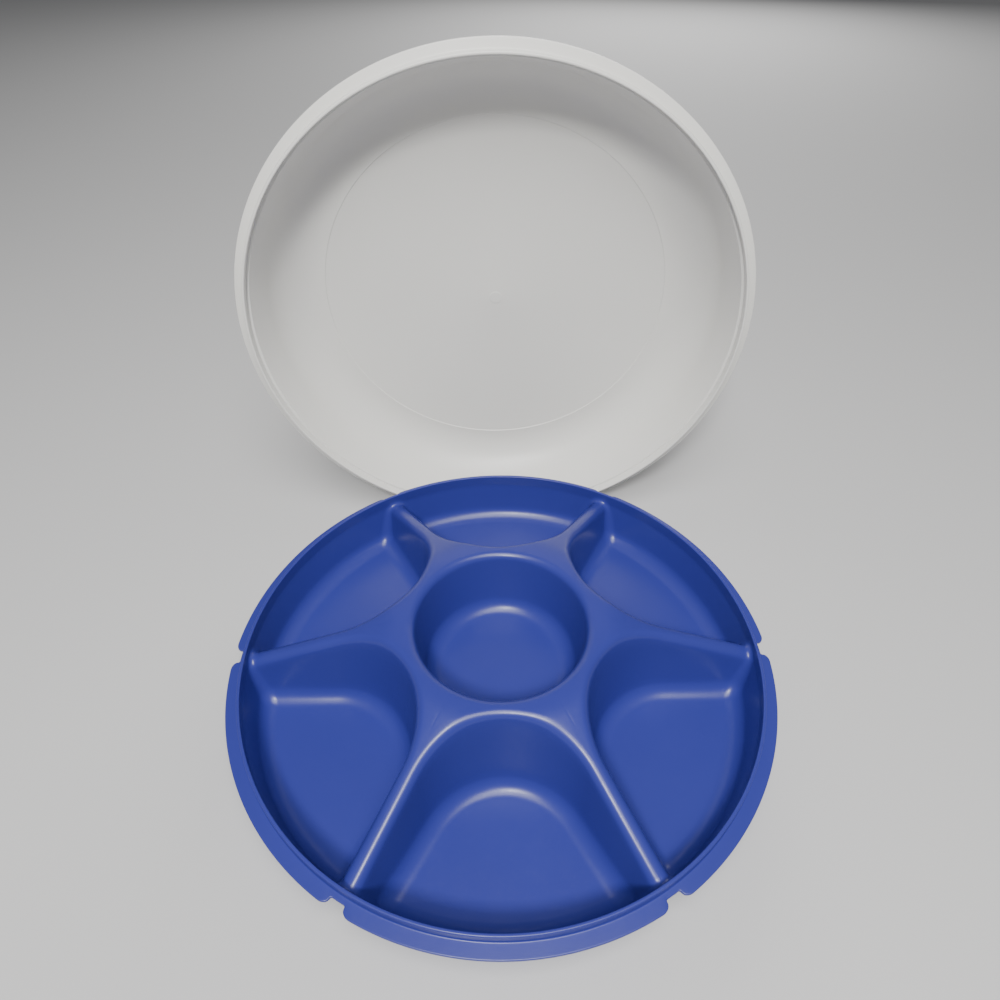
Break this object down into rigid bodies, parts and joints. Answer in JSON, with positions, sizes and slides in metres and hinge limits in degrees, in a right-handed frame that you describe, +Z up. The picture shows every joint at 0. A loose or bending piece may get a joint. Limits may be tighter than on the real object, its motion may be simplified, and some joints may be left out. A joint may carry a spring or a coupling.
{
  "type": "chip and dip server",
  "caption": "Round party server: moulded tray with wedge pockets round a raised central dip bowl, and a deep round cover standing behind it.",
  "frame": {"origin": "on the table, under the middle of the arrangement of tray and standing cover, on its left-right mirror plane", "axes": "+Z up; +Y from the tray towards the cover standing behind it; +X to the right as seen from the tray's side"},
  "size_m": [0.325, 0.3662, 0.325],
  "materials": {
    "blue_plastic": "satin moulded polypropylene",
    "white_plastic": "satin milky moulded plastic"
  },
  "bodies": {
    "tray": {"serving_tray": "blue_plastic"},
    "cover": {"cover": "white_plastic"}
  },
  "joints": [
    {"name": "cover_lift", "type": "slide", "parent": "tray", "child": "cover", "axis": [0, 0.7071, 0.7071], "range_m": [0, 0.2]}
  ]
}
